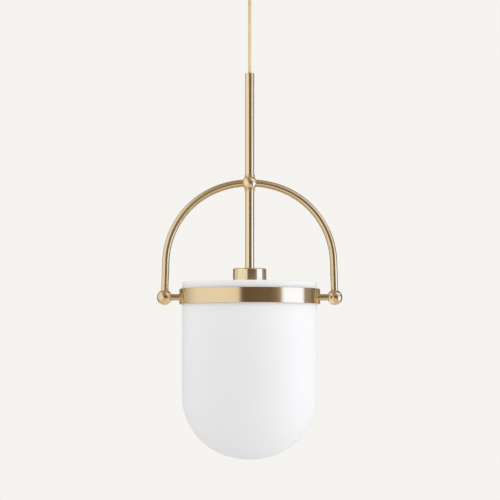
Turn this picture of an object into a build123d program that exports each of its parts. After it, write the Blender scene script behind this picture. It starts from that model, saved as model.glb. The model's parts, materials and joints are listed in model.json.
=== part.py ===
from build123d import *
import os
from math import asin, cos, degrees, radians, sin, sqrt, tan

# Pendant ceiling light: an opal glass in a brass band that tilts on two pins
# under a round bail, on a brass stem that hangs from the ceiling by its cord.
# Millimetres. The ceiling is at height 0, the light hangs below it on the Z axis,
# and the bail stands in the XZ plane.

os.makedirs("parts", exist_ok=True)

# Clearances
thread_gap = 0.05  # on the radius of screwed and pushed-in pieces
running_gap = 0.05  # on the radius of a pin in its bush
loose_gap = 0.3  # between pieces that move past each other
seam_gap = 0.15  # seam between the ferrule and the stem

# Mounting bar, with slots for the ceiling box and studs for the canopy
bar_gap = 3.0  # between the bar's ends and the canopy
bar_width = 20.0
bar_thickness = 2.0
bar_corner = 4.0
slot_spacing = 82.0
slot_length = 16.0
slot_width = 5.0
stud_spacing = 54.0
stud_diameter = 4.0
earth_screw_offset = 15.0
earth_screw_diameter = 4.0
earth_head_diameter = 7.0
earth_head_height = 2.6

# Canopy and its cap nuts
canopy_diameter = 120.0
canopy_height = 25.0
canopy_wall = 1.0
canopy_edge = 5.0
cap_nut_diameter = 9.0
cap_nut_height = 8.0
cap_nut_edge = 2.5
cap_nut_crown = 2.5  # metal left under the end of the stud

# Terminal block under the bar
block_offset = 15.0
block_length = 17.0
block_width = 16.0
block_height = 10.0
block_edge = 1.0
pole_spacing = 7.0
wire_depth = 7.0
wire_level = 6.0  # wire holes below the bar
terminal_screw_diameter = 3.0
terminal_screw_length = 2.6
block_screw_diameter = 3.0
block_screw_head = 5.4
block_screw_sink = 3.0

# Cord
cord_diameter = 4.9
cord_drop = 106.4  # from the grip to the ferrule
swing_limit = 15.0  # degrees that the mouths let the cord lean
lead_diameter = 1.8
lead_spread = 1.4  # leads from the middle of the cord
lead_bend = 1.6

# Cord grip through the canopy
grip_length = 18.0
grip_diameter = 15.0
grip_shoulder = 10.0
grip_tip_diameter = 12.4
grip_screw_diameter = 3.0
grip_screw_drop = 5.0
mouth_depth = 5.0
thread_stickout = 2.0  # thread left beyond its locknut
tail_stickout = 3.0  # cord above the grip
washer_diameter = 18.0
washer_thickness = 0.8
locknut_flats = 15.0
locknut_thickness = 4.0

# Stem, ferrule and nipples
stem_diameter = 12.7
stem_wall = 1.2
upper_stem_length = 129.4
ferrule_diameter = 12.9
ferrule_height = 14.7
ferrule_edge = 0.8
ferrule_bush_height = 2.0
nipple_wall = 1.5
nipple_reach = 10.0  # thread inside each stem

# Cross fitting between two bead collars
collar_diameter = 15.0
collar_height = 3.2
collar_round = 1.3
cross_diameter = 20.8
cross_length = 16.8
arm_socket_wall = 1.15  # between an arm's end and the stem's thread

# Bail
arm_diameter = 10.3
arm_wall = 1.0
crown_angle = 22.7  # degrees that the flatter top arc turns on each side
shoulder_inset = 6.47  # radius of a shoulder, less than half the bail's width
leg_splay = 1.8  # degrees that the legs lean outward
leg_length = 50.8  # from the shoulder down to the middle of the ball
ball_diameter = 21.6
leg_socket_wall = 1.6  # between a leg's end and the pin
pin_screw_diameter = 4.0
hex_key = 2.0

# Glass, its bead and the band that carries it
glass_diameter = 190.2
glass_wall = 4.0
glass_side = 159.0  # from the rim down to the dome
corner_offset = 6.8  # middle of the dome's rounded corner, off the axis
bottom_angle = 25.0  # degrees that the dome's flatter bottom turns on each side
rim_rise = 21.3  # rim above the pins
rim_round = 1.9
bead_height = 1.8
bead_round = 0.7
band_gap = 2.65  # between the glass and the band
band_wall = 1.5
band_height = 21.2
band_rise = 1.0  # middle of the band above the pins
band_edge = 0.4
lip_thickness = 1.2
lip_gap = 0.5
gasket_thickness = 0.5
pin_diameter = 9.0
pin_reach = 20.55  # from the band to the middle of a ball
pin_hold = 4.0  # pin past the middle of its ball
pin_retract = 4.5  # room to push the pin back out of the band
pin_edge = 0.4
bush_wall = 0.8
bush_flange = 0.5
bush_flange_thickness = 0.8

# Socket cup and lampholder
cup_diameter = 47.0
cup_height = 52.0
cup_wall = 1.0
cup_edge = 2.0
cup_rise = 40.7  # top of the cup above the pins
holder_gap = 2.5  # between the holder and the cup
holder_wall = 2.0
holder_cap_height = 15.0
holder_cap_plate = 3.0
holder_spigot_height = 4.0
holder_proud = 1.5  # holder below the edge of the cup
holder_floor = 11.7  # porcelain above the lamp
shell_wall = 0.4
shell_inset = 3.0
tongue_length = 16.0
tongue_width = 6.0
tongue_thickness = 0.6
button_diameter = 5.0
button_height = 2.4
terminal_size = 5.0
terminal_height = 3.4
terminal_offset = 9.0

# Lamp with a 26 mm screw base
base_diameter = 26.4
base_gap = 0.65  # from the base to the shell, on the radius
base_wall = 0.5
insulator_diameter = 23.0
insulator_height = 2.5
tip_diameter = 9.0
tip_height = 1.0
collar_start_diameter = 28.0
lamp_collar_height = 34.5
lamp_neck_diameter = 48.0
globe_diameter = 60.0
globe_wall = 1.2

# Radii
cord_radius = cord_diameter / 2
lead_radius = lead_diameter / 2
stud_radius = stud_diameter / 2
stem_radius = stem_diameter / 2
stem_bore = stem_radius - stem_wall
nipple_radius = stem_bore - thread_gap
nipple_bore = nipple_radius - nipple_wall
thread_hole = nipple_radius + thread_gap
arm_radius = arm_diameter / 2
ball_radius = ball_diameter / 2
pin_radius = pin_diameter / 2
glass_radius = glass_diameter / 2
corner_radius = glass_radius - corner_offset
bottom_radius = corner_radius + corner_offset / sin(radians(bottom_angle))
band_inner = glass_radius + band_gap
band_radius = band_inner + band_wall
bail_radius = band_radius + pin_reach
shoulder_radius = bail_radius - shoulder_inset
throat_radius = cord_radius / cos(radians(swing_limit)) + loose_gap
mouth_radius = throat_radius + mouth_depth * tan(radians(swing_limit))

# Heights, from the ceiling down
canopy_bottom = -canopy_height
canopy_floor = canopy_bottom + canopy_wall
grip_nut_top = canopy_floor + washer_thickness + locknut_thickness
grip_top = grip_nut_top + thread_stickout
tail_top = grip_top + tail_stickout
grip_tip = canopy_bottom - grip_length
upper_pivot = grip_tip + mouth_depth
ferrule_top = grip_tip - cord_drop
lower_pivot = ferrule_top - mouth_depth
ferrule_bottom = ferrule_top - ferrule_height
upper_stem_top = ferrule_bottom - seam_gap
upper_stem_bottom = upper_stem_top - upper_stem_length
cross_height = upper_stem_bottom - collar_height - cross_length / 2
lower_stem_top = cross_height - cross_length / 2 - collar_height

# Bail: a flatter arc over the top, a shoulder on each side, and legs that lean outward
crown = radians(crown_angle)
splay = radians(leg_splay)
shoulder_reach = shoulder_radius * (cos(splay) - sin(crown)) + leg_length * sin(splay)
crown_radius = (bail_radius - shoulder_reach) / sin(crown)
crown_height = cross_height - crown_radius
shoulder_offset = (crown_radius - shoulder_radius) * sin(crown)
shoulder_height = crown_height + (crown_radius - shoulder_radius) * cos(crown)
pin_height = shoulder_height + shoulder_radius * sin(splay) - leg_length * cos(splay)

# Heights below the bail
cup_top = pin_height + cup_rise
cup_nut_bottom = cup_top - cup_wall - washer_thickness - locknut_thickness
glass_rim = pin_height + rim_rise
dome_height = glass_rim - glass_side
bottom_center = dome_height + corner_offset / tan(radians(bottom_angle))

sides = {"left": -1, "right": 1}


def save(piece, name):
    piece.part.label = name
    export_step(piece.part, f"parts/{name}.step")


# A plain tube or rod on the Z axis
def make_tube(name, radius, bore, bottom, top):
    with BuildPart() as tube:
        with BuildSketch(Plane.XY.offset(bottom)):
            Circle(radius)
            if bore > 0:
                Circle(bore, mode=Mode.SUBTRACT)
        extrude(amount=top - bottom)
    save(tube, name)


# A thin hexagon nut on the Z axis
def make_locknut(name, bottom):
    with BuildPart() as locknut:
        with BuildSketch(Plane.XY.offset(bottom)):
            RegularPolygon(locknut_flats / 2, 6, major_radius=False)
            Circle(thread_hole, mode=Mode.SUBTRACT)
        extrude(amount=locknut_thickness)
    save(locknut, name)


# The middle line of an insulated lead, with rounded corners
def lead_route(points):
    with BuildLine() as route:
        FilletPolyline(*points, radius=lead_bend)
    return route.line


def make_leads(name, routes):
    with BuildPart() as leads:
        for route in routes:
            with BuildSketch(Plane(route @ 0, z_dir=route % 0)):
                Circle(lead_radius)
            sweep(path=route)
    save(leads, name)


# Mounting bar
bar_length = canopy_diameter - 2 * (canopy_wall + bar_gap)
earth_place = (-earth_screw_offset, 0)
block_screw_place = (block_offset + block_length / 4, 0)
with BuildPart() as mounting_bar:
    with BuildSketch(Plane.XY.offset(-bar_thickness)):
        RectangleRounded(bar_length, bar_width, bar_corner)
        with GridLocations(slot_spacing, 0, 2, 1):
            SlotOverall(slot_length, slot_width, mode=Mode.SUBTRACT)
        with GridLocations(stud_spacing, 0, 2, 1):
            Circle(stud_radius + thread_gap, mode=Mode.SUBTRACT)
        with Locations(earth_place):
            Circle(earth_screw_diameter / 2 + thread_gap, mode=Mode.SUBTRACT)
        with Locations(block_screw_place):
            Circle(block_screw_diameter / 2 + thread_gap, mode=Mode.SUBTRACT)
    extrude(amount=bar_thickness)
save(mounting_bar, "mounting_bar")

# Canopy: a spun cup, open towards the ceiling
with BuildPart() as canopy:
    with BuildSketch():
        Circle(canopy_diameter / 2)
    extrude(amount=-canopy_height)
    fillet(canopy.faces().sort_by(Axis.Z)[0].edges(), canopy_edge)
    offset(amount=-canopy_wall, openings=canopy.faces().sort_by(Axis.Z)[-1])
    with BuildSketch(Plane.XY.offset(canopy_bottom)):
        Circle(thread_hole)
        with GridLocations(stud_spacing, 0, 2, 1):
            Circle(stud_radius + loose_gap)
    extrude(amount=canopy_wall, mode=Mode.SUBTRACT)
save(canopy, "canopy")

# Studs that hang from the bar, and the cap nuts that hold the canopy up on them
stud_bottom = canopy_bottom - cap_nut_height + cap_nut_crown
with BuildPart() as canopy_studs:
    with BuildSketch(Plane.XY.offset(stud_bottom)):
        with GridLocations(stud_spacing, 0, 2, 1):
            Circle(stud_radius)
    extrude(amount=-stud_bottom)
save(canopy_studs, "canopy_studs")

with BuildPart() as canopy_cap_nuts:
    with BuildSketch(Plane.XY.offset(canopy_bottom)):
        with GridLocations(stud_spacing, 0, 2, 1):
            Circle(cap_nut_diameter / 2)
    extrude(amount=-cap_nut_height)
    fillet(canopy_cap_nuts.edges().group_by(Axis.Z)[0], cap_nut_edge)
    with BuildSketch(Plane.XY.offset(canopy_bottom)):
        with GridLocations(stud_spacing, 0, 2, 1):
            Circle(stud_radius + thread_gap)
    extrude(amount=stud_bottom - canopy_bottom, mode=Mode.SUBTRACT)
save(canopy_cap_nuts, "canopy_cap_nuts")

# Cord grip: a threaded shank through the canopy and a flared mouth for the cord
tail_bottom = upper_pivot + cord_radius + loose_gap
grip_bore = cord_radius + thread_gap
grip_screw_height = canopy_bottom - grip_screw_drop
with BuildPart() as cord_grip:
    with BuildSketch(Plane.XZ):
        with BuildLine():
            Polyline(
                (grip_bore, grip_top),
                (nipple_radius, grip_top),
                (nipple_radius, canopy_bottom),
                (grip_diameter / 2, canopy_bottom),
                (grip_diameter / 2, canopy_bottom - grip_shoulder),
                (grip_tip_diameter / 2, grip_tip),
                (mouth_radius, grip_tip),
                (throat_radius, upper_pivot),
                (throat_radius, tail_bottom),
                (grip_bore, tail_bottom),
                close=True,
            )
        make_face()
    revolve(axis=Axis.Z)
    with BuildSketch(Plane.XZ):
        with Locations((0, grip_screw_height)):
            Circle(grip_screw_diameter / 2 + thread_gap)
    extrude(amount=-grip_diameter, mode=Mode.SUBTRACT)
save(cord_grip, "cord_grip")

# Headless screw at the back of the grip, against the cord
with BuildPart() as grip_screw:
    with BuildSketch(Plane.XZ.offset(-grip_bore)):
        with Locations((0, grip_screw_height)):
            Circle(grip_screw_diameter / 2)
    extrude(amount=grip_bore - grip_diameter / 2 + loose_gap)
    with BuildSketch(Plane.XZ.offset(loose_gap - grip_diameter / 2)):
        with Locations((0, grip_screw_height)):
            RegularPolygon(hex_key / 2, 6, major_radius=False)
    extrude(amount=hex_key / 2, mode=Mode.SUBTRACT)
save(grip_screw, "grip_screw")

make_tube("grip_washer", washer_diameter / 2, thread_hole, canopy_floor, canopy_floor + washer_thickness)
make_locknut("grip_locknut", canopy_floor + washer_thickness)
make_tube("canopy_cord_tail", cord_radius, 0, tail_bottom, tail_top)

# Terminal block with two poles, screwed under the bar
block_top = -bar_thickness
block_bottom = block_top - block_height
block_near = block_offset - block_length / 2
wire_height = block_top - wire_level
wire_hole = lead_radius + thread_gap
pole_places = [(block_near + wire_depth - wire_hole, side * pole_spacing / 2) for side in sides.values()]
with BuildPart() as terminal_block:
    with BuildSketch(Plane.XY.offset(block_bottom)):
        with Locations((block_offset, 0)):
            RectangleRounded(block_length, block_width, block_edge)
    extrude(amount=block_height)
    with BuildSketch(Plane.YZ.offset(block_near)):
        with Locations((0, wire_height)):
            with GridLocations(pole_spacing, 0, 2, 1):
                Circle(wire_hole)
    extrude(amount=wire_depth, mode=Mode.SUBTRACT)
    with BuildSketch(Plane.XY.offset(block_bottom)):
        with Locations(*pole_places):
            Circle(terminal_screw_diameter / 2 + thread_gap)
    extrude(amount=wire_height - wire_hole - block_bottom, mode=Mode.SUBTRACT)
    with BuildSketch(Plane.XY.offset(block_bottom)):
        with Locations(block_screw_place):
            Circle(block_screw_diameter / 2 + thread_gap)
    extrude(amount=block_height, mode=Mode.SUBTRACT)
    with BuildSketch(Plane.XY.offset(block_bottom)):
        with Locations(block_screw_place):
            Circle(block_screw_head / 2 + thread_gap)
    extrude(amount=block_screw_sink, mode=Mode.SUBTRACT)
save(terminal_block, "terminal_block")

# The screws that clamp the wires in the block
with BuildPart() as terminal_screws:
    with BuildSketch(Plane.XY.offset(wire_height - wire_hole)):
        with Locations(*pole_places):
            Circle(terminal_screw_diameter / 2)
    extrude(amount=-terminal_screw_length)
save(terminal_screws, "terminal_screws")

# The screw that holds the block to the bar
with BuildPart() as block_screw:
    with BuildSketch(Plane.XY.offset(block_bottom + block_screw_sink)):
        with Locations(block_screw_place):
            Circle(block_screw_head / 2)
    extrude(amount=-block_screw_sink + loose_gap)
    with BuildSketch(Plane.XY.offset(block_bottom + block_screw_sink)):
        with Locations(block_screw_place):
            Circle(block_screw_diameter / 2)
    extrude(amount=block_height - block_screw_sink + bar_thickness)
save(block_screw, "block_screw")

# Earth screw
with BuildPart() as earth_screw:
    with BuildSketch(Plane.XY.offset(-bar_thickness)):
        with Locations(earth_place):
            Circle(earth_head_diameter / 2)
    extrude(amount=-earth_head_height)
    with BuildSketch(Plane.XY.offset(-bar_thickness)):
        with Locations(earth_place):
            Circle(earth_screw_diameter / 2)
    extrude(amount=bar_thickness)
save(earth_screw, "earth_screw")

# Leads from the cord to the block and to the earth screw
earth_lead_height = -bar_thickness - earth_head_height / 2
earth_head_side = -earth_screw_offset + earth_head_diameter / 2
canopy_routes = [
    lead_route(
        [
            (0, side * lead_spread, tail_top),
            (0, side * lead_spread, wire_height),
            (block_near - lead_bend, side * pole_spacing / 2, wire_height),
            (block_near + wire_depth - loose_gap, side * pole_spacing / 2, wire_height),
        ]
    )
    for side in sides.values()
]
canopy_routes.append(
    lead_route(
        [
            (-lead_spread, 0, tail_top),
            (-lead_spread, 0, earth_lead_height),
            (earth_head_side + thread_gap, 0, earth_lead_height),
        ]
    )
)
make_leads("canopy_leads", canopy_routes)

# The free cord, straight under the light's weight, round-ended about both pivots
with BuildPart() as hanging_cord:
    with BuildSketch(Plane.XZ):
        with BuildLine():
            upper_end = CenterArc((0, upper_pivot), cord_radius, 90, -90)
            lower_end = CenterArc((0, lower_pivot), cord_radius, 0, -90)
            Line(upper_end @ 1, lower_end @ 0)
            Line(lower_end @ 1, upper_end @ 0)
        make_face()
    revolve(axis=Axis.Z)
save(hanging_cord, "hanging_cord")
print(f"free cord {upper_pivot - lower_pivot:.1f} mm between its pivots, one straight run, no bends")

# Ferrule with a flared mouth, its cord bush and the nipple into the stem
inner_cord_top = lower_pivot - cord_radius - loose_gap
ferrule_nipple_top = inner_cord_top - ferrule_bush_height
with BuildPart() as stem_ferrule:
    with BuildSketch(Plane.XZ):
        with BuildLine():
            Polyline(
                (mouth_radius, ferrule_top),
                (ferrule_diameter / 2, ferrule_top),
                (ferrule_diameter / 2, ferrule_bottom),
                (thread_hole, ferrule_bottom),
                (thread_hole, inner_cord_top),
                (throat_radius, inner_cord_top),
                (throat_radius, lower_pivot),
                close=True,
            )
        make_face()
    revolve(axis=Axis.Z)
    rims = stem_ferrule.edges().filter_by(GeomType.CIRCLE).group_by(Axis.Z)[-1]
    fillet(rims.sort_by(SortBy.RADIUS)[-1], ferrule_edge)
save(stem_ferrule, "stem_ferrule")

make_tube("ferrule_bush", nipple_radius, cord_radius + thread_gap, ferrule_nipple_top, inner_cord_top)
make_tube("ferrule_nipple", nipple_radius, nipple_bore, ferrule_bottom - nipple_reach, ferrule_nipple_top)
make_tube("ferrule_cord", cord_radius, 0, ferrule_bottom, inner_cord_top)

# Stems
make_tube("upper_stem", stem_radius, stem_bore, upper_stem_bottom, upper_stem_top)
make_tube("lower_stem", stem_radius, stem_bore, cup_top, lower_stem_top)
make_tube(
    "cross_nipple",
    nipple_radius,
    nipple_bore,
    lower_stem_top - nipple_reach,
    upper_stem_bottom + nipple_reach,
)

# Bead collars above and below the cross fitting
collar_places = {"upper_collar": upper_stem_bottom - collar_height, "lower_collar": lower_stem_top}
for name, bottom in collar_places.items():
    with BuildPart() as collar:
        with BuildSketch(Plane.XY.offset(bottom)):
            Circle(collar_diameter / 2)
        extrude(amount=collar_height)
        fillet(collar.edges().filter_by(GeomType.CIRCLE), collar_round)
        with BuildSketch(Plane.XY.offset(bottom)):
            Circle(thread_hole)
        extrude(amount=collar_height, mode=Mode.SUBTRACT)
    save(collar, name)

# The middle line of one half of the bail
arm_start = degrees(asin((thread_hole + arm_socket_wall) / crown_radius))
leg_rise = pin_radius + leg_socket_wall  # end of a leg above the pin
leg_end = (bail_radius - leg_rise * tan(splay), pin_height + leg_rise)


def arm_route(side):
    with BuildLine(Plane.XZ) as route:
        CenterArc((0, crown_height), crown_radius, 90 - side * arm_start, side * (arm_start - crown_angle))
        shoulder = CenterArc(
            (side * shoulder_offset, shoulder_height),
            shoulder_radius,
            90 - side * crown_angle,
            side * (crown_angle + leg_splay - 90),
        )
        Line(shoulder @ 1, (side * leg_end[0], leg_end[1]))
    return route.line


arm_routes = {name: arm_route(side) for name, side in sides.items()}

# Cross fitting: a ball with two flats, bored for the nipple and socketed for the arms
with BuildPart() as cross_fitting:
    with Locations((0, 0, cross_height)):
        Sphere(cross_diameter / 2)
    split(bisect_by=Plane.XY.offset(cross_height + cross_length / 2), keep=Keep.BOTTOM)
    split(bisect_by=Plane.XY.offset(cross_height - cross_length / 2), keep=Keep.TOP)
    with BuildSketch(Plane.XY.offset(cross_height - cross_length / 2)):
        Circle(thread_hole)
    extrude(amount=cross_length, mode=Mode.SUBTRACT)
    for route in arm_routes.values():
        with BuildSketch(Plane(route @ 0, z_dir=route % 0)):
            Circle(arm_radius + thread_gap)
        sweep(path=route, mode=Mode.SUBTRACT)
save(cross_fitting, "cross_fitting")

# Bail: a bent tube, a ball, a pivot pin and its screw on each side
pin_tip = sqrt(band_inner**2 - (pin_radius + bush_wall + bush_flange) ** 2) - bush_flange_thickness
pin_tail = bail_radius + pin_hold
pin_bore = pin_radius + thread_gap
screw_outer = sqrt(ball_radius**2 - (pin_screw_diameter / 2) ** 2) - loose_gap
for name, side in sides.items():
    route = arm_routes[name]
    with BuildPart() as bail_arm:
        with BuildSketch(Plane(route @ 0, z_dir=route % 0)):
            Circle(arm_radius)
            Circle(arm_radius - arm_wall, mode=Mode.SUBTRACT)
        sweep(path=route)
    save(bail_arm, f"bail_arm_{name}")

    with BuildPart() as bail_ball:
        with Locations((side * bail_radius, 0, pin_height)):
            Sphere(ball_radius)
        with BuildSketch(Plane(route @ 1, z_dir=route % 1)):
            Circle(arm_radius + thread_gap)
        extrude(amount=-ball_diameter, mode=Mode.SUBTRACT)
        with BuildSketch(Plane.YZ.offset(side * band_radius)):
            with Locations((0, pin_height)):
                Circle(pin_bore)
        extrude(amount=side * (pin_tail + pin_retract - band_radius), mode=Mode.SUBTRACT)
        with BuildSketch(Plane.XZ):
            with Locations((side * bail_radius, pin_height)):
                Circle(pin_screw_diameter / 2 + thread_gap)
        extrude(amount=-ball_diameter, mode=Mode.SUBTRACT)
    save(bail_ball, f"bail_ball_{name}")

    with BuildPart() as pivot_pin:
        with BuildSketch(Plane.YZ.offset(side * pin_tip)):
            with Locations((0, pin_height)):
                Circle(pin_radius)
        extrude(amount=side * (pin_tail - pin_tip))
        chamfer(pivot_pin.edges().filter_by(GeomType.CIRCLE), pin_edge)
    save(pivot_pin, f"pivot_pin_{name}")

    with BuildPart() as pin_screw:
        with BuildSketch(Plane.XZ.offset(-pin_bore)):
            with Locations((side * bail_radius, pin_height)):
                Circle(pin_screw_diameter / 2)
        extrude(amount=pin_bore - screw_outer)
        with BuildSketch(Plane.XZ.offset(-screw_outer)):
            with Locations((side * bail_radius, pin_height)):
                RegularPolygon(hex_key / 2, 6, major_radius=False)
        extrude(amount=hex_key, mode=Mode.SUBTRACT)
    save(pin_screw, f"pin_screw_{name}")

# Band with an inward lip at its lower edge and a hole for each bush
band_bottom = pin_height + band_rise - band_height / 2
band_top = band_bottom + band_height
lip_top = band_bottom + lip_thickness
lip_radius = glass_radius + lip_gap
bush_radius = pin_radius + bush_wall
with BuildPart() as shade_band:
    with BuildSketch(Plane.XZ):
        with BuildLine():
            Polyline(
                (band_radius, band_bottom),
                (band_radius, band_top),
                (band_inner, band_top),
                (band_inner, lip_top),
                (lip_radius, lip_top),
                (lip_radius, band_bottom),
                close=True,
            )
        make_face()
    revolve(axis=Axis.Z)
    outer_edges = shade_band.edges().filter_by(GeomType.CIRCLE).filter_by(
        lambda edge: abs(edge.radius - band_radius) < thread_gap
    )
    fillet(outer_edges, band_edge)
    with BuildSketch(Plane.YZ):
        with Locations((0, pin_height)):
            Circle(bush_radius + thread_gap)
    extrude(amount=band_radius, both=True, mode=Mode.SUBTRACT)
save(shade_band, "shade_band")

# Bushes, with their flanges inside the band
bush_outer_face = sqrt(band_radius**2 - bush_radius**2)
flange_radius = bush_radius + bush_flange
flange_face = sqrt(band_inner**2 - flange_radius**2) - thread_gap
for name, side in sides.items():
    with BuildPart() as pivot_bush:
        with BuildSketch(Plane.YZ.offset(side * (flange_face - bush_flange_thickness))):
            with Locations((0, pin_height)):
                Circle(flange_radius)
        extrude(amount=side * bush_flange_thickness)
        with BuildSketch(Plane.YZ.offset(side * flange_face)):
            with Locations((0, pin_height)):
                Circle(bush_radius)
        extrude(amount=side * (bush_outer_face - flange_face))
        with BuildSketch(Plane.YZ.offset(side * (flange_face - bush_flange_thickness))):
            with Locations((0, pin_height)):
                Circle(pin_radius + running_gap)
        extrude(amount=side * (bush_outer_face - flange_face + bush_flange_thickness), mode=Mode.SUBTRACT)
    save(pivot_bush, f"pivot_bush_{name}")

# Gasket on the lip, under the bead of the glass
gasket_top = lip_top + gasket_thickness
bead_radius = band_inner - lip_gap
make_tube("band_gasket", bead_radius, lip_radius, lip_top, gasket_top)

# Glass: an open cylinder with a round bottom, a fire-polished rim and a bead
with BuildPart() as glass_shade:
    with BuildSketch(Plane.XZ):
        with BuildLine():
            for inset in (0, glass_wall):
                CenterArc((0, bottom_center), bottom_radius - inset, -90, bottom_angle)
                CenterArc(
                    (corner_offset, dome_height),
                    corner_radius - inset,
                    bottom_angle - 90,
                    90 - bottom_angle,
                )
            Line((0, bottom_center - bottom_radius), (0, bottom_center - bottom_radius + glass_wall))
            Polyline(
                (glass_radius, dome_height),
                (glass_radius, glass_rim),
                (glass_radius - glass_wall, glass_rim),
                (glass_radius - glass_wall, dome_height),
            )
        make_face()
    revolve(axis=Axis.Z)
    fillet(glass_shade.edges().filter_by(GeomType.CIRCLE).group_by(Axis.Z)[-1], rim_round)
    with BuildSketch(Plane.XZ):
        with Locations((bead_radius, gasket_top)):
            Rectangle(bead_radius - glass_radius + glass_wall / 2, bead_height, align=(Align.MAX, Align.MIN))
    revolve(axis=Axis.Z)
    bead_edges = glass_shade.edges().filter_by(GeomType.CIRCLE).filter_by(
        lambda edge: abs(edge.radius - bead_radius) < thread_gap
    )
    fillet(bead_edges, bead_round)
save(glass_shade, "glass_shade")

# Socket cup under the lower stem, on its nipple, washer and locknut
with BuildPart() as socket_cup:
    with BuildSketch(Plane.XY.offset(cup_top)):
        Circle(cup_diameter / 2)
    extrude(amount=-cup_height)
    fillet(socket_cup.faces().sort_by(Axis.Z)[-1].edges(), cup_edge)
    offset(amount=-cup_wall, openings=socket_cup.faces().sort_by(Axis.Z)[0])
    with BuildSketch(Plane.XY.offset(cup_top)):
        Circle(thread_hole)
    extrude(amount=-cup_wall, mode=Mode.SUBTRACT)
save(socket_cup, "socket_cup")

holder_cap_top = cup_nut_bottom
socket_nipple_bottom = holder_cap_top - holder_cap_plate - thread_stickout
make_tube("socket_nipple", nipple_radius, nipple_bore, socket_nipple_bottom, cup_top + nipple_reach)
make_tube(
    "cup_washer",
    washer_diameter / 2,
    thread_hole,
    cup_top - cup_wall - washer_thickness,
    cup_top - cup_wall,
)
make_locknut("cup_locknut", cup_nut_bottom)

# Lampholder: a cap on the nipple, and a porcelain body that screws into it
holder_radius = cup_diameter / 2 - cup_wall - holder_gap
holder_shoulder = holder_cap_top - holder_cap_height
holder_bottom = cup_top - cup_height - holder_proud
spigot_top = holder_shoulder + holder_spigot_height
spigot_radius = holder_radius - holder_wall - thread_gap
shell_radius = base_diameter / 2 + base_gap + shell_wall
bore_top = spigot_top - holder_floor
with BuildPart() as lampholder_cap:
    with BuildSketch(Plane.XY.offset(holder_shoulder)):
        Circle(holder_radius)
        Circle(holder_radius - holder_wall, mode=Mode.SUBTRACT)
    extrude(amount=holder_cap_height)
    with BuildSketch(Plane.XY.offset(holder_cap_top)):
        Circle(holder_radius)
        Circle(thread_hole, mode=Mode.SUBTRACT)
    extrude(amount=-holder_cap_plate)
save(lampholder_cap, "lampholder_cap")

with BuildPart() as lampholder_body:
    with BuildSketch(Plane.XY.offset(holder_bottom)):
        Circle(holder_radius)
    extrude(amount=holder_shoulder - holder_bottom)
    with BuildSketch(Plane.XY.offset(holder_shoulder)):
        Circle(spigot_radius)
    extrude(amount=holder_spigot_height)
    with BuildSketch(Plane.XY.offset(holder_bottom)):
        Circle(shell_radius + thread_gap)
    extrude(amount=bore_top - holder_bottom, mode=Mode.SUBTRACT)
save(lampholder_body, "lampholder_body")

make_tube(
    "lampholder_shell",
    shell_radius,
    shell_radius - shell_wall,
    holder_bottom + shell_inset,
    bore_top,
)

# Spring contact on the floor of the bore, with a button over the tip of the lamp
button_tip = bore_top - tongue_thickness - button_height
with BuildPart() as lampholder_contact:
    with BuildSketch(Plane.XY.offset(bore_top)):
        SlotOverall(tongue_length, tongue_width)
    extrude(amount=-tongue_thickness)
    with BuildSketch(Plane.XY.offset(bore_top - tongue_thickness)):
        Circle(button_diameter / 2)
    extrude(amount=-button_height)
    fillet(lampholder_contact.faces().sort_by(Axis.Z)[0].edges(), button_height / 2)
save(lampholder_contact, "lampholder_contact")

# Terminals on top of the porcelain, and the leads to them from the end of the cord
inner_cord_bottom = socket_nipple_bottom - loose_gap
with BuildPart() as lampholder_terminals:
    with BuildSketch(Plane.XY.offset(spigot_top)):
        with GridLocations(2 * terminal_offset, 0, 2, 1):
            Rectangle(terminal_size, terminal_size)
    extrude(amount=terminal_height)
save(lampholder_terminals, "lampholder_terminals")

terminal_lead_height = spigot_top + terminal_height / 2
terminal_face = terminal_offset - terminal_size / 2
holder_routes = [
    lead_route(
        [
            (side * lead_spread, 0, inner_cord_bottom),
            (side * lead_spread, 0, terminal_lead_height),
            (side * terminal_face, 0, terminal_lead_height),
        ]
    )
    for side in sides.values()
]
make_leads("lampholder_leads", holder_routes)
make_tube("stem_cord", cord_radius, 0, inner_cord_bottom, upper_stem_top - loose_gap)

# Lamp: screw base, insulator and tip, a plastic collar and an opal globe
lamp_tip = button_tip - loose_gap
insulator_top = lamp_tip - tip_height
base_top = insulator_top - insulator_height
base_bottom = holder_bottom - loose_gap
make_tube("bulb_base", base_diameter / 2, base_diameter / 2 - base_wall, base_bottom, base_top)
make_tube("bulb_contact", tip_diameter / 2, 0, insulator_top, lamp_tip)

with BuildPart() as bulb_insulator:
    with BuildSketch(Plane.XY.offset(base_top)):
        Circle(insulator_diameter / 2)
    with BuildSketch(Plane.XY.offset(insulator_top)):
        Circle(tip_diameter / 2)
    loft()
    with BuildSketch(Plane.XY.offset(base_top)):
        Circle(base_diameter / 2 - base_wall - thread_gap)
    extrude(amount=-insulator_height)
save(bulb_insulator, "bulb_insulator")

globe_radius = globe_diameter / 2
neck_radius = lamp_neck_diameter / 2
collar_bottom = base_bottom - lamp_collar_height
globe_center = collar_bottom - sqrt(globe_radius**2 - neck_radius**2)
with BuildPart() as bulb_collar:
    with BuildSketch(Plane.XZ):
        with BuildLine():
            Polyline(
                (0, collar_bottom),
                (0, base_bottom),
                (collar_start_diameter / 2, base_bottom),
            )
            Spline(
                (collar_start_diameter / 2, base_bottom),
                (neck_radius, collar_bottom),
                tangents=[(0, -1), (collar_bottom - globe_center, -neck_radius)],
            )
            Line((neck_radius, collar_bottom), (0, collar_bottom))
        make_face()
    revolve(axis=Axis.Z)
save(bulb_collar, "bulb_collar")

with BuildPart() as bulb_globe:
    with Locations((0, 0, globe_center)):
        Sphere(globe_radius)
        Sphere(globe_radius - globe_wall, mode=Mode.SUBTRACT)
    split(bisect_by=Plane.XY.offset(collar_bottom), keep=Keep.BOTTOM)
save(bulb_globe, "bulb_globe")
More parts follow.
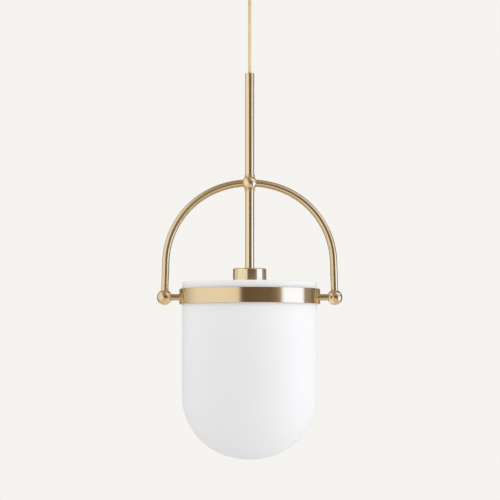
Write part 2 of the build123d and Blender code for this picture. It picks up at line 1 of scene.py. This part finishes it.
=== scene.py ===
import bpy
import bmesh
import json
import math
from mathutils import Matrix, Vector


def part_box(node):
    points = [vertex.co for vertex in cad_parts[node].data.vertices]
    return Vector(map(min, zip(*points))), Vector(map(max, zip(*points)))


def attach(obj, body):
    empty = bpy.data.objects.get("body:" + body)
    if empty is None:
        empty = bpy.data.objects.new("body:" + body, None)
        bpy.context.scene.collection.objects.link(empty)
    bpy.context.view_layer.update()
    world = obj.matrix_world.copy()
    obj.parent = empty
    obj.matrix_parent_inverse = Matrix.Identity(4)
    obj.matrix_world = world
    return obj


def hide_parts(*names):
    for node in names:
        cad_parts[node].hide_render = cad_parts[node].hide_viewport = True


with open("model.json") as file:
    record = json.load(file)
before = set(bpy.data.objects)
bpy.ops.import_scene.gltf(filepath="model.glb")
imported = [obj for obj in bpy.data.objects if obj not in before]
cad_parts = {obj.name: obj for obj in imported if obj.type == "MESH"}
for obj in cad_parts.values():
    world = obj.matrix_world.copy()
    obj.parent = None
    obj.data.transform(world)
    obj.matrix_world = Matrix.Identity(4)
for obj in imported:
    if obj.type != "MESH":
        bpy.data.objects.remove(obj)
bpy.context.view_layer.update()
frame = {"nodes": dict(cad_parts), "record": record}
nodes = frame["nodes"]
scene = bpy.context.scene
scene.view_settings.view_transform = "Standard"

# camera: 3 m away, a little below the middle of the light, looking up by about 3 degrees
cameraSet = {
    "place": (0.0004, -3.0, -0.556),
    "aim": (0.0004, 0.0, -0.400),
    "acrossAtAim": 0.705,  # metres of the light's own plane that fill the picture
    "sensor": 36.0,
}
cameraData = bpy.data.cameras.new("studioCamera")
cameraData.sensor_width = cameraSet["sensor"]
aimLine = Vector(cameraSet["aim"]) - Vector(cameraSet["place"])
cameraData.lens = cameraSet["sensor"] * aimLine.length / cameraSet["acrossAtAim"]
cameraData.clip_end = 50.0
camera = bpy.data.objects.new("studioCamera", cameraData)
camera.location = cameraSet["place"]
camera.rotation_mode = "QUATERNION"
camera.rotation_quaternion = aimLine.to_track_quat("-Z", "Y")
scene.collection.objects.link(camera)
scene.camera = camera
print("camera set, lens", round(cameraData.lens, 1), "mm")


# finishes: each one starts from a shader, with object coordinates to hang patterns on
def startFinish(name, **values):
    finish = bpy.data.materials.new(name)
    finish.use_nodes = True
    shader = finish.node_tree.nodes["Principled BSDF"]
    for socket, value in values.items():
        shader.inputs[socket.replace("_", " ")].default_value = value
    return finish, finish.node_tree, shader


def objectSpots(tree, scale, stretch=(1, 1, 1), detail=3.0, rough=0.5):
    place = tree.nodes.new("ShaderNodeTexCoord")
    turn = tree.nodes.new("ShaderNodeMapping")
    turn.inputs["Scale"].default_value = stretch
    noise = tree.nodes.new("ShaderNodeTexNoise")
    noise.inputs["Scale"].default_value = scale
    noise.inputs["Detail"].default_value = detail
    noise.inputs["Roughness"].default_value = rough
    tree.links.new(place.outputs["Object"], turn.inputs["Vector"])
    tree.links.new(turn.outputs["Vector"], noise.inputs["Vector"])
    return noise.outputs["Fac"]


def spread(tree, value, low, high, fromLow=0.3, fromHigh=0.7):
    ranger = tree.nodes.new("ShaderNodeMapRange")
    ranger.inputs["From Min"].default_value = fromLow
    ranger.inputs["From Max"].default_value = fromHigh
    ranger.inputs["To Min"].default_value = low
    ranger.inputs["To Max"].default_value = high
    tree.links.new(value, ranger.inputs["Value"])
    return ranger.outputs["Result"]


def tint(tree, value, first, second):
    mixer = tree.nodes.new("ShaderNodeMix")
    mixer.data_type = "RGBA"
    mixer.inputs["A"].default_value = (*first, 1)
    mixer.inputs["B"].default_value = (*second, 1)
    tree.links.new(value, mixer.inputs["Factor"])
    return mixer.outputs["Result"]


def bump(tree, shader, value, strength, depth):
    bumper = tree.nodes.new("ShaderNodeBump")
    bumper.inputs["Strength"].default_value = strength
    bumper.inputs["Distance"].default_value = depth
    tree.links.new(value, bumper.inputs["Height"])
    tree.links.new(bumper.outputs["Normal"], shader.inputs["Normal"])


# brass: brushed round each piece, so that its reflections smear along the piece
brassSet = {
    "pale": (0.905, 0.763, 0.513),
    "gold": (0.840, 0.680, 0.425),
    # deep: a darker brass for the pivot pins, painted shade for the shade they sit in between ball and band
    "deep": (0.680, 0.550, 0.360),
    "toneScale": 14.0,
    "toneSpread": (0.97, 1.03),
    "smear": 0.95,
    "turnedRough": (0.16, 0.20),
    "bentRough": (0.18, 0.22),
    "pinRough": (0.14, 0.18),
    "brightRough": (0.19, 0.23),
    "lineAlong": 2600.0,  # brushed lines for each metre along a piece, and round it
    "lineRound": 40.0,
    "lineDetail": 4.0,
    "lineBreaks": 0.6,
    "lineStrength": 0.1,
    "lineDepth": 0.000002,
    "grainScale": 700.0,  # of pieces that aren't brushed
    "bailHeight": -0.4270,  # where the bail turns into its legs
    "bailWidth": 0.1198,
}


def toWorld(tree, vector):
    turner = tree.nodes.new("ShaderNodeVectorTransform")
    turner.vector_type = "VECTOR"
    turner.convert_from, turner.convert_to = "OBJECT", "WORLD"
    tree.links.new(vector, turner.inputs["Vector"])
    return turner.outputs["Vector"]


def joined(tree, x=0.0, y=0.0, z=0.0):
    joiner = tree.nodes.new("ShaderNodeCombineXYZ")
    for socket, value in zip(joiner.inputs, (x, y, z)):
        if isinstance(value, float):
            socket.default_value = value
        else:
            tree.links.new(value, socket)
    return joiner.outputs["Vector"]


def sums(tree, kind, first, second=None):
    worker = tree.nodes.new("ShaderNodeMath")
    worker.operation = kind
    for socket, value in zip(worker.inputs, (first, second)):
        if isinstance(value, float):
            socket.default_value = value
        elif value is not None:
            tree.links.new(value, socket)
    return worker.outputs[0]


def brushedLines(tree, scale, stretch):
    return objectSpots(tree, scale, stretch, brassSet["lineDetail"], brassSet["lineBreaks"])


def objectParts(tree):
    place = tree.nodes.new("ShaderNodeTexCoord")
    parts = tree.nodes.new("ShaderNodeSeparateXYZ")
    tree.links.new(place.outputs["Object"], parts.inputs["Vector"])
    return parts.outputs


# turned pieces: brushed round the light's own axis
def turnedSmear(tree):
    parts = objectParts(tree)
    ring = toWorld(tree, joined(tree, sums(tree, "MULTIPLY", parts["Y"], -1.0), parts["X"]))
    facing = tree.nodes.new("ShaderNodeNewGeometry")
    across = tree.nodes.new("ShaderNodeVectorMath")
    across.operation = "CROSS_PRODUCT"
    tree.links.new(ring, across.inputs[0])
    tree.links.new(facing.outputs["Normal"], across.inputs[1])
    stretch = (brassSet["lineRound"], brassSet["lineRound"], brassSet["lineAlong"])
    return across.outputs["Vector"], brushedLines(tree, 1.0, stretch)


# pivot pins: brushed round the pin, which runs across the light
def pinSmear(tree):
    stretch = (brassSet["lineAlong"], brassSet["lineRound"], brassSet["lineRound"])
    return toWorld(tree, joined(tree, 1.0)), brushedLines(tree, 1.0, stretch)


# bent tubes: brushed round the tube, which runs along the bail
def bentSmear(tree):
    parts = objectParts(tree)
    height = sums(tree, "SUBTRACT", parts["Z"], brassSet["bailHeight"])
    above = sums(tree, "MAXIMUM", height, 0.0)
    along = toWorld(tree, joined(tree, sums(tree, "MULTIPLY", above, -1.0), 0.0, parts["X"]))
    angle = sums(tree, "MULTIPLY", sums(tree, "ARCTAN2", above, parts["X"]), brassSet["bailWidth"])
    length = sums(tree, "ADD", angle, sums(tree, "MINIMUM", height, 0.0))
    noise = tree.nodes.new("ShaderNodeTexNoise")
    noise.noise_dimensions = "1D"
    noise.inputs["Scale"].default_value = brassSet["lineAlong"]
    noise.inputs["Detail"].default_value = brassSet["lineDetail"]
    tree.links.new(length, noise.inputs["W"])
    return along, noise.outputs["Fac"]


def makeBrass(name, base, rough, smear=None):
    finish, tree, shader = startFinish(name, Metallic=1.0)
    tone = spread(tree, objectSpots(tree, brassSet["toneScale"]), *brassSet["toneSpread"])
    shade = tree.nodes.new("ShaderNodeHueSaturation")
    shade.inputs["Color"].default_value = (*brassSet[base], 1)
    tree.links.new(tone, shade.inputs["Saturation"])
    tree.links.new(shade.outputs["Color"], shader.inputs["Base Color"])
    if smear:
        direction, lines = smear(tree)
        tree.links.new(direction, shader.inputs["Tangent"])
        shader.inputs["Anisotropic"].default_value = brassSet["smear"]
    else:
        lines = brushedLines(tree, brassSet["grainScale"], (1, 1, 1))
    tree.links.new(spread(tree, lines, *brassSet[rough]), shader.inputs["Roughness"])
    bump(tree, shader, lines, brassSet["lineStrength"], brassSet["lineDepth"])
    return finish


turnedBrass = makeBrass("turnedSatinBrass", "pale", "turnedRough", turnedSmear)
bandBrass = makeBrass("bandSatinBrass", "gold", "turnedRough", turnedSmear)
bentBrass = makeBrass("bentSatinBrass", "gold", "bentRough", bentSmear)
# the pins take the deep tone: painted shade between the ball and the band, not the brass's own colour
pinShadedBrass = makeBrass("shadedPinSatinBrass", "deep", "pinRough", pinSmear)
brightBrass = makeBrass("brightBrass", "gold", "brightRough")
print("brass made")

# opal glass: satin white, a trace of lilac, faint unevenness from blowing
glassSet = {
    "white": (0.930, 0.930, 0.933),
    "lilac": (0.905, 0.903, 0.918),
    "gloss": 0.12,
    "scatter": 0.6,
    "scatterReach": 0.010,
    "scatterTint": (1.0, 0.97, 0.95),
    "waveScale": 9.0,
    "waveStretch": (1, 1, 0.6),
    "waveDetail": 2.0,
    "waveStrength": 0.15,
    "waveDepth": 0.0006,
    "grainScale": 650.0,
    "rough": (0.38, 0.46),
}
opalGlass, tree, shader = startFinish(
    "opalGlass",
    IOR=1.5,
    Specular_IOR_Level=glassSet["gloss"],
    Subsurface_Weight=glassSet["scatter"],
    Subsurface_Scale=glassSet["scatterReach"],
    Subsurface_Radius=glassSet["scatterTint"],
)
waves = objectSpots(tree, glassSet["waveScale"], glassSet["waveStretch"], glassSet["waveDetail"])
waveTint = tint(tree, spread(tree, waves, 0.0, 1.0), glassSet["white"], glassSet["lilac"])
tree.links.new(waveTint, shader.inputs["Base Color"])
grain = objectSpots(tree, glassSet["grainScale"])
tree.links.new(spread(tree, grain, *glassSet["rough"]), shader.inputs["Roughness"])
bump(tree, shader, waves, glassSet["waveStrength"], glassSet["waveDepth"])
print("opal glass made")


# plain finishes of the hidden and small pieces: two colours, the size of the spots, roughness from and to
plainSet = {"strength": 0.05, "depth": 0.0001, "lampGloss": 0.3}


def makePlain(name, first, second, scale, roughLow, roughHigh, **values):
    finish, tree, shader = startFinish(name, **values)
    spots = objectSpots(tree, scale)
    tree.links.new(tint(tree, spread(tree, spots, 0.0, 1.0), first, second), shader.inputs["Base Color"])
    tree.links.new(spread(tree, spots, roughLow, roughHigh), shader.inputs["Roughness"])
    bump(tree, shader, spots, plainSet["strength"], plainSet["depth"])
    return finish


zincSteel = makePlain("zincSteel", (0.60, 0.61, 0.63), (0.66, 0.66, 0.66), 420.0, 0.28, 0.42, Metallic=1.0)
earthGreen = makePlain("earthGreen", (0.10, 0.36, 0.16), (0.14, 0.42, 0.20), 300.0, 0.3, 0.45, Metallic=0.8)
porcelain = makePlain("porcelain", (0.90, 0.89, 0.86), (0.86, 0.85, 0.82), 90.0, 0.10, 0.18, Coat_Weight=0.6)
phenolic = makePlain("phenolic", (0.035, 0.032, 0.030), (0.055, 0.050, 0.046), 500.0, 0.35, 0.5)
whitePlastic = makePlain("whitePlastic", (0.88, 0.88, 0.86), (0.84, 0.84, 0.82), 600.0, 0.40, 0.52)
nylon = makePlain("nylon", (0.84, 0.83, 0.78), (0.79, 0.78, 0.72), 350.0, 0.42, 0.55)
silicone = makePlain("silicone", (0.80, 0.80, 0.78), (0.75, 0.75, 0.73), 250.0, 0.5, 0.62)
nickel = makePlain("nickel", (0.70, 0.69, 0.66), (0.75, 0.74, 0.71), 380.0, 0.16, 0.26, Metallic=1.0)
lampGloss = {"Specular_IOR_Level": plainSet["lampGloss"]}
lampOpal = makePlain("lampOpal", (0.92, 0.92, 0.90), (0.89, 0.89, 0.87), 500.0, 0.42, 0.52, **lampGloss)
leadBrown = makePlain("leadBrown", (0.16, 0.075, 0.035), (0.20, 0.095, 0.045), 400.0, 0.35, 0.48)
leadBlue = makePlain("leadBlue", (0.03, 0.12, 0.42), (0.04, 0.15, 0.48), 400.0, 0.35, 0.48)
leadEarth = makePlain("leadEarth", (0.62, 0.60, 0.05), (0.08, 0.36, 0.08), 260.0, 0.35, 0.48)
print("plain finishes made")

# woven cord cover: two sets of threads that wind round the cord in opposite ways
cordSet = {
    "upper": (0.0, 0.0, -0.0380),
    "lower": (0.0, 0.0, -0.1544),
    "exit": (0.0, 0.0, -0.0430),
    "diameter": 0.0049,
    "threads": 8.0,  # in each direction
    "lay": 420.0,  # radians of winding for each metre
    "light": (0.925, 0.742, 0.450),
    "deep": (0.755, 0.560, 0.292),
    "rough": 0.7,
    "sheen": 0.3,
    "weaveFrom": -0.2,  # where the shade between the threads starts
    "weaveStrength": 0.6,
    "weaveDepth": 0.0003,
}
cordCover, tree, shader = startFinish(
    "wovenCordCover",
    Roughness=cordSet["rough"],
    Sheen_Weight=cordSet["sheen"],
)
parts = objectParts(tree)
around = sums(tree, "MULTIPLY", sums(tree, "ARCTAN2", parts["Y"], parts["X"]), cordSet["threads"])
along = sums(tree, "MULTIPLY", parts["Z"], cordSet["lay"] * cordSet["threads"])
leftWinding = sums(tree, "SINE", sums(tree, "ADD", around, along))
rightWinding = sums(tree, "SINE", sums(tree, "SUBTRACT", around, along))
weave = sums(tree, "MAXIMUM", leftWinding, rightWinding)
weaveShade = spread(tree, weave, 0.0, 1.0, cordSet["weaveFrom"], 1.0)
tree.links.new(tint(tree, weaveShade, cordSet["deep"], cordSet["light"]), shader.inputs["Base Color"])
bump(tree, shader, weaveShade, cordSet["weaveStrength"], cordSet["weaveDepth"])
print("woven cover made")

finishes = {
    "satin_brass": turnedBrass,
    "polished_brass": brightBrass,
    "opal_glass": opalGlass,
    "cord_cover": cordCover,
    "zinc_steel": zincSteel,
    "earth_green": earthGreen,
    "porcelain": porcelain,
    "phenolic": phenolic,
    "white_plastic": whitePlastic,
    "nylon": nylon,
    "silicone": silicone,
    "lead_insulation": leadBrown,
    "nickel": nickel,
    "lamp_opal": lampOpal,
}
ownFinish = {
    "stem_ferrule": turnedBrass,
    "bail_arm_left": bentBrass,
    "bail_arm_right": bentBrass,
    "pivot_pin_left": pinShadedBrass,
    "pivot_pin_right": pinShadedBrass,
    "shade_band": bandBrass,
}
for subpart in frame["record"]["subparts"]:
    piece = nodes[subpart["node"]]
    finish = ownFinish.get(subpart["node"], finishes[subpart["material_slot"]])
    piece.data.materials.clear()
    piece.data.materials.append(finish)


# cord and leads: round, smooth curves through the points of their routes
lineSet = {"roundness": 5, "smoothness": 12}


def makeLine(name, routes, diameter, lineFinishes):
    curve = bpy.data.curves.new(name, "CURVE")
    curve.dimensions = "3D"
    curve.bevel_depth = diameter / 2
    curve.bevel_resolution = lineSet["roundness"]
    curve.use_fill_caps = True
    for number, route in enumerate(routes):
        spline = curve.splines.new("NURBS")
        spline.points.add(len(route) - 1)
        for point, at in zip(spline.points, route):
            point.co = (*at, 1)
        spline.order_u = 3
        spline.use_endpoint_u = True
        spline.resolution_u = lineSet["smoothness"]
        spline.material_index = number % len(lineFinishes)
    for finish in lineFinishes:
        curve.materials.append(finish)
    line = bpy.data.objects.new(name, curve)
    scene.collection.objects.link(line)
    return line


upperEnd, lowerEnd = Vector(cordSet["upper"]), Vector(cordSet["lower"])
cordRoute = [upperEnd, (upperEnd + lowerEnd) / 2, lowerEnd]
cord = makeLine("hangingCord", [cordRoute], cordSet["diameter"], [cordCover])
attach(cord, "cord")
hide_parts("hanging_cord")
print("cord hung,", round((upperEnd - lowerEnd).length * 1000, 1), "mm")

# the fixed ends of the cord, and the run inside the stems
innerCordSet = {
    "canopyCord": ("canopy", "canopy_cord_tail"),
    "ferruleCord": ("ferrule", "ferrule_cord"),
    "stemCord": ("frame", "stem_cord"),
}
for name, (body, node) in innerCordSet.items():
    low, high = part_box(node)
    heights = (high[2], (low[2] + high[2]) / 2, low[2])
    innerRoute = [(0, 0, height) for height in heights]
    innerCord = makeLine(name, [innerRoute], cordSet["diameter"], [cordCover])
    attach(innerCord, body)
    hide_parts(node)

# leads: live, neutral and earth in the canopy, live and neutral in the lampholder, in millimetres
leadSet = {
    "diameter": 0.0018,  # metres
    "canopy": [
        [(0, -1.4, -14.2), (0, -1.4, -8.0), (4.9, -3.5, -8.0), (6.5, -3.5, -8.0), (13.2, -3.5, -8.0)],
        [(0, 1.4, -14.2), (0, 1.4, -8.0), (4.9, 3.5, -8.0), (6.5, 3.5, -8.0), (13.2, 3.5, -8.0)],
        [(-1.4, 0, -14.2), (-1.4, 0, -3.3), (-11.45, 0, -3.3)],
    ],
    "frame": [
        [(-1.4, 0, -437.185), (-1.4, 0, -441.185), (-6.5, 0, -441.185)],
        [(1.4, 0, -437.185), (1.4, 0, -441.185), (6.5, 0, -441.185)],
    ],
    "nodes": {"canopy": "canopy_leads", "frame": "lampholder_leads"},
}
for body, node in leadSet["nodes"].items():
    routes = [[Vector(point) / 1000 for point in route] for route in leadSet[body]]
    leads = makeLine(body + "Leads", routes, leadSet["diameter"], [leadBrown, leadBlue, leadEarth])
    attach(leads, body)
    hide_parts(node)
print("inner cords and leads laid")


# studio: two lamps, a dome that only the metal sees, pale surroundings and floor
studioSet = {
    "background": (0.9180, 0.9010, 0.8680),
    "fill": (0.863, 0.863, 0.870),
    "floorColor": (0.84, 0.83, 0.845),
    "floorRough": 0.8,
    "floorHeight": -1.70,
    "floorReach": 5.6,
    "floorSteps": 128,
    "middle": -0.42,
}
lampSet = {
    "rightSoftbox": {
        "azimuth": 75,
        "distance": 1.9,
        "height": -0.48,
        "size": (1.36, 2.6),
        "power": 13.0,
        "color": (1.0, 1.0, 0.965),
    },
    "leftSoftbox": {
        "azimuth": -75,
        "distance": 2.3,
        "height": -0.20,
        "size": (2.4, 2.6),
        "power": 6.1,
        "color": (1.0, 1.0, 1.0),
    },
}


def turnedPlace(azimuth, distance, height):
    angle = math.radians(azimuth)
    return Vector((math.sin(angle) * distance, -math.cos(angle) * distance, height))


def addLamp(name, azimuth, distance, height, size, power, color):
    lampData = bpy.data.lights.new(name, "AREA")
    lampData.shape = "RECTANGLE"
    lampData.size, lampData.size_y = size
    lampData.energy = power
    lampData.color = color
    lamp = bpy.data.objects.new(name, lampData)
    lamp.location = turnedPlace(azimuth, distance, height)
    towards = Vector((0, 0, studioSet["middle"])) - lamp.location
    lamp.rotation_mode = "QUATERNION"
    lamp.rotation_quaternion = towards.to_track_quat("-Z", "Y")
    lamp.visible_camera = False
    lamp.visible_glossy = False
    scene.collection.objects.link(lamp)


# the surroundings that the metal mirrors: stops give an azimuth from the front and the tone there, which
# passes into the other tones above and below. From and To are shares of the dome's reach from its middle
domeSet = {
    "reach": 2.4,
    "steps": 96,
    "rings": 32,
    "lean": 20.0,  # degrees that the stops lean, over the dome's reach
    "lampTop": (0.80, 0.64, 0.47),  # which the right-hand lamp fades to
    "lampTopFrom": 0.02,
    "lampTopTo": 0.26,
    "lampTopEdges": (51.0, 53.7, 95.8, 98.4),  # azimuths of that lamp's soft edges
    "overLamp": (0.16, 0.12, 0.08),  # above that lamp, on the right
    "overLampFrom": 0.45,
    "overLampTo": 0.65,
    "rightFrom": 0.05,
    "rightTo": 0.25,
    "ceiling": (0.34, 0.275, 0.19),
    "ceilingFrom": 0.18,
    "ceilingTo": 0.45,
    "stripFrom": 0.35,  # half of the strip over the light that the ceiling shows in
    "stripTo": 0.70,
    "highLamp": (1.05, 1.15, 1.55),  # a second lamp, which leans over the light from the right
    "highLampFrom": 0.38,
    "highLampTo": 0.52,
    "highLampEdges": (130.0, 142.0, 190.0, 207.0),
    "highLean": 140.0,
    "highSideFrom": 0.15,
    "highSideTo": 0.45,
    "floor": (0.75, 0.64, 0.54),
    "floorFrom": -0.40,
    "floorTo": -0.70,
    "nearFloorFrom": -0.11,  # in the strip before and behind the light the floor starts higher
    "nearFloorTo": -0.34,
    "stops": [
        (-180, (0.40, 0.38, 0.36)),
        (-164, (0.40, 0.38, 0.36)),
        (-152, (0.26, 0.22, 0.17)),
        (-147, (0.06, 0.042, 0.024)),
        (-136, (0.06, 0.042, 0.024)),
        (-129, (0.50, 0.47, 0.43)),
        (-108, (0.78, 0.76, 0.74)),
        (-90, (0.92, 0.90, 0.87)),
        (-17, (0.94, 0.92, 0.88)),
        (-13, (0.070, 0.044, 0.025)),
        (15, (0.086, 0.058, 0.034)),
        (34, (0.140, 0.098, 0.064)),
        (44, (0.250, 0.195, 0.145)),
        (51.0, (0.300, 0.240, 0.180)),
        (53.7, (1.25, 1.59, 2.58)),
        (95.8, (1.25, 1.59, 2.58)),
        (98.4, (0.38, 0.35, 0.32)),
        (112, (0.33, 0.30, 0.28)),
        (124, (0.20, 0.17, 0.15)),
        (141, (0.32, 0.28, 0.25)),
        (150, (0.27, 0.23, 0.19)),
        (165, (0.22, 0.20, 0.18)),
        (180, (0.40, 0.38, 0.36)),
    ],
}


def addDome():
    domeMesh = bpy.data.meshes.new("studioDome")
    shape = bmesh.new()
    steps, rings = domeSet["steps"], domeSet["rings"]
    bmesh.ops.create_uvsphere(shape, u_segments=steps, v_segments=rings, radius=domeSet["reach"])
    shape.to_mesh(domeMesh)
    shape.free()
    finish = bpy.data.materials.new("studioDome")
    finish.use_nodes = True
    tree = finish.node_tree
    tree.nodes.clear()
    parts = objectParts(tree)
    azimuth = sums(tree, "ARCTAN2", parts["X"], sums(tree, "MULTIPLY", parts["Y"], -1.0))
    shades = tree.nodes.new("ShaderNodeValToRGB")
    ramp = shades.color_ramp
    for number, (turned, shade) in enumerate(domeSet["stops"]):
        where = (turned + 180) / 360
        stop = ramp.elements[number] if number < 1 else ramp.elements.new(where)
        stop.position = where
        stop.color = (*shade, 1)
    ramp.elements.remove(ramp.elements[-1])
    height = sums(tree, "DIVIDE", parts["Z"], domeSet["reach"])
    leaned, highLeaned = [
        sums(tree, "ADD", azimuth, sums(tree, "MULTIPLY", height, math.radians(domeSet[lean])))
        for lean in ("lean", "highLean")
    ]
    tree.links.new(spread(tree, leaned, 0.0, 1.0, -math.pi, math.pi), shades.inputs["Fac"])
    color = shades.outputs["Color"]
    rightward = sums(tree, "DIVIDE", parts["X"], domeSet["reach"])
    aside = sums(tree, "ABSOLUTE", rightward)
    strip = spread(tree, aside, 1.0, 0.0, domeSet["stripFrom"], domeSet["stripTo"])
    nearFloor = spread(tree, height, 0.0, 1.0, domeSet["nearFloorFrom"], domeSet["nearFloorTo"])
    onRight = spread(tree, rightward, 0.0, 1.0, domeSet["rightFrom"], domeSet["rightTo"])
    masks = {"ceiling": strip, "overLamp": onRight}
    for end, turned in (("lampTop", leaned), ("highLamp", highLeaned)):
        startIn, startOut, endIn, endOut = [math.radians(edge) for edge in domeSet[end + "Edges"]]
        pastStart = spread(tree, turned, 0.0, 1.0, startIn, startOut)
        beforeEnd = spread(tree, turned, 1.0, 0.0, endIn, endOut)
        masks[end] = sums(tree, "MULTIPLY", pastStart, beforeEnd)
    highSide = spread(tree, rightward, 0.0, 1.0, domeSet["highSideFrom"], domeSet["highSideTo"])
    masks["highLamp"] = sums(tree, "MULTIPLY", masks["highLamp"], highSide)
    for end in ("lampTop", "overLamp", "ceiling", "highLamp", "floor"):
        mixer = tree.nodes.new("ShaderNodeMix")
        mixer.data_type = "RGBA"
        mixer.inputs["B"].default_value = (*domeSet[end], 1)
        share = spread(tree, height, 0.0, 1.0, domeSet[end + "From"], domeSet[end + "To"])
        if end in masks:
            share = sums(tree, "MULTIPLY", share, masks[end])
        else:
            share = sums(tree, "MAXIMUM", share, sums(tree, "MULTIPLY", nearFloor, strip))
        tree.links.new(share, mixer.inputs["Factor"])
        tree.links.new(color, mixer.inputs["A"])
        color = mixer.outputs["Result"]
    glow = tree.nodes.new("ShaderNodeEmission")
    out = tree.nodes.new("ShaderNodeOutputMaterial")
    tree.links.new(color, glow.inputs["Color"])
    tree.links.new(glow.outputs[0], out.inputs["Surface"])
    domeMesh.materials.append(finish)
    dome = bpy.data.objects.new("studioDome", domeMesh)
    dome.location = (0, 0, studioSet["middle"])
    dome.visible_camera = False
    dome.visible_diffuse = False
    dome.visible_shadow = False
    dome.visible_transmission = False
    scene.collection.objects.link(dome)


addDome()
for name, values in lampSet.items():
    addLamp(name, **values)

world = bpy.data.worlds.new("paleStudio")
world.use_nodes = True
scene.world = world
worldTree = world.node_tree
worldTree.nodes.clear()
paths = worldTree.nodes.new("ShaderNodeLightPath")
worldOut = worldTree.nodes.new("ShaderNodeOutputWorld")
shown = worldTree.nodes.new("ShaderNodeBackground")
shown.inputs["Color"].default_value = (*studioSet["fill"], 1)
pale = worldTree.nodes.new("ShaderNodeBackground")
pale.inputs["Color"].default_value = (*studioSet["background"], 1)
for ray in ("Is Glossy Ray", "Is Transmission Ray", "Is Camera Ray"):
    chooser = worldTree.nodes.new("ShaderNodeMixShader")
    worldTree.links.new(paths.outputs[ray], chooser.inputs[0])
    worldTree.links.new(shown.outputs[0], chooser.inputs[1])
    worldTree.links.new(pale.outputs[0], chooser.inputs[2])
    shown = chooser
worldTree.links.new(shown.outputs[0], worldOut.inputs["Surface"])

floorShape = bmesh.new()
floorSteps, floorReach = studioSet["floorSteps"], studioSet["floorReach"]
bmesh.ops.create_circle(floorShape, cap_ends=True, segments=floorSteps, radius=floorReach)
bmesh.ops.translate(floorShape, verts=floorShape.verts, vec=(0, 0, studioSet["floorHeight"]))
floorMesh = bpy.data.meshes.new("studioFloor")
floorShape.to_mesh(floorMesh)
floorShape.free()
floorFinish, tree, shader = startFinish("paleFloor", Roughness=studioSet["floorRough"])
shader.inputs["Base Color"].default_value = (*studioSet["floorColor"], 1)
floorMesh.materials.append(floorFinish)
floor = bpy.data.objects.new("studioFloor", floorMesh)
floor.visible_glossy = False
scene.collection.objects.link(floor)
print("studio lit")
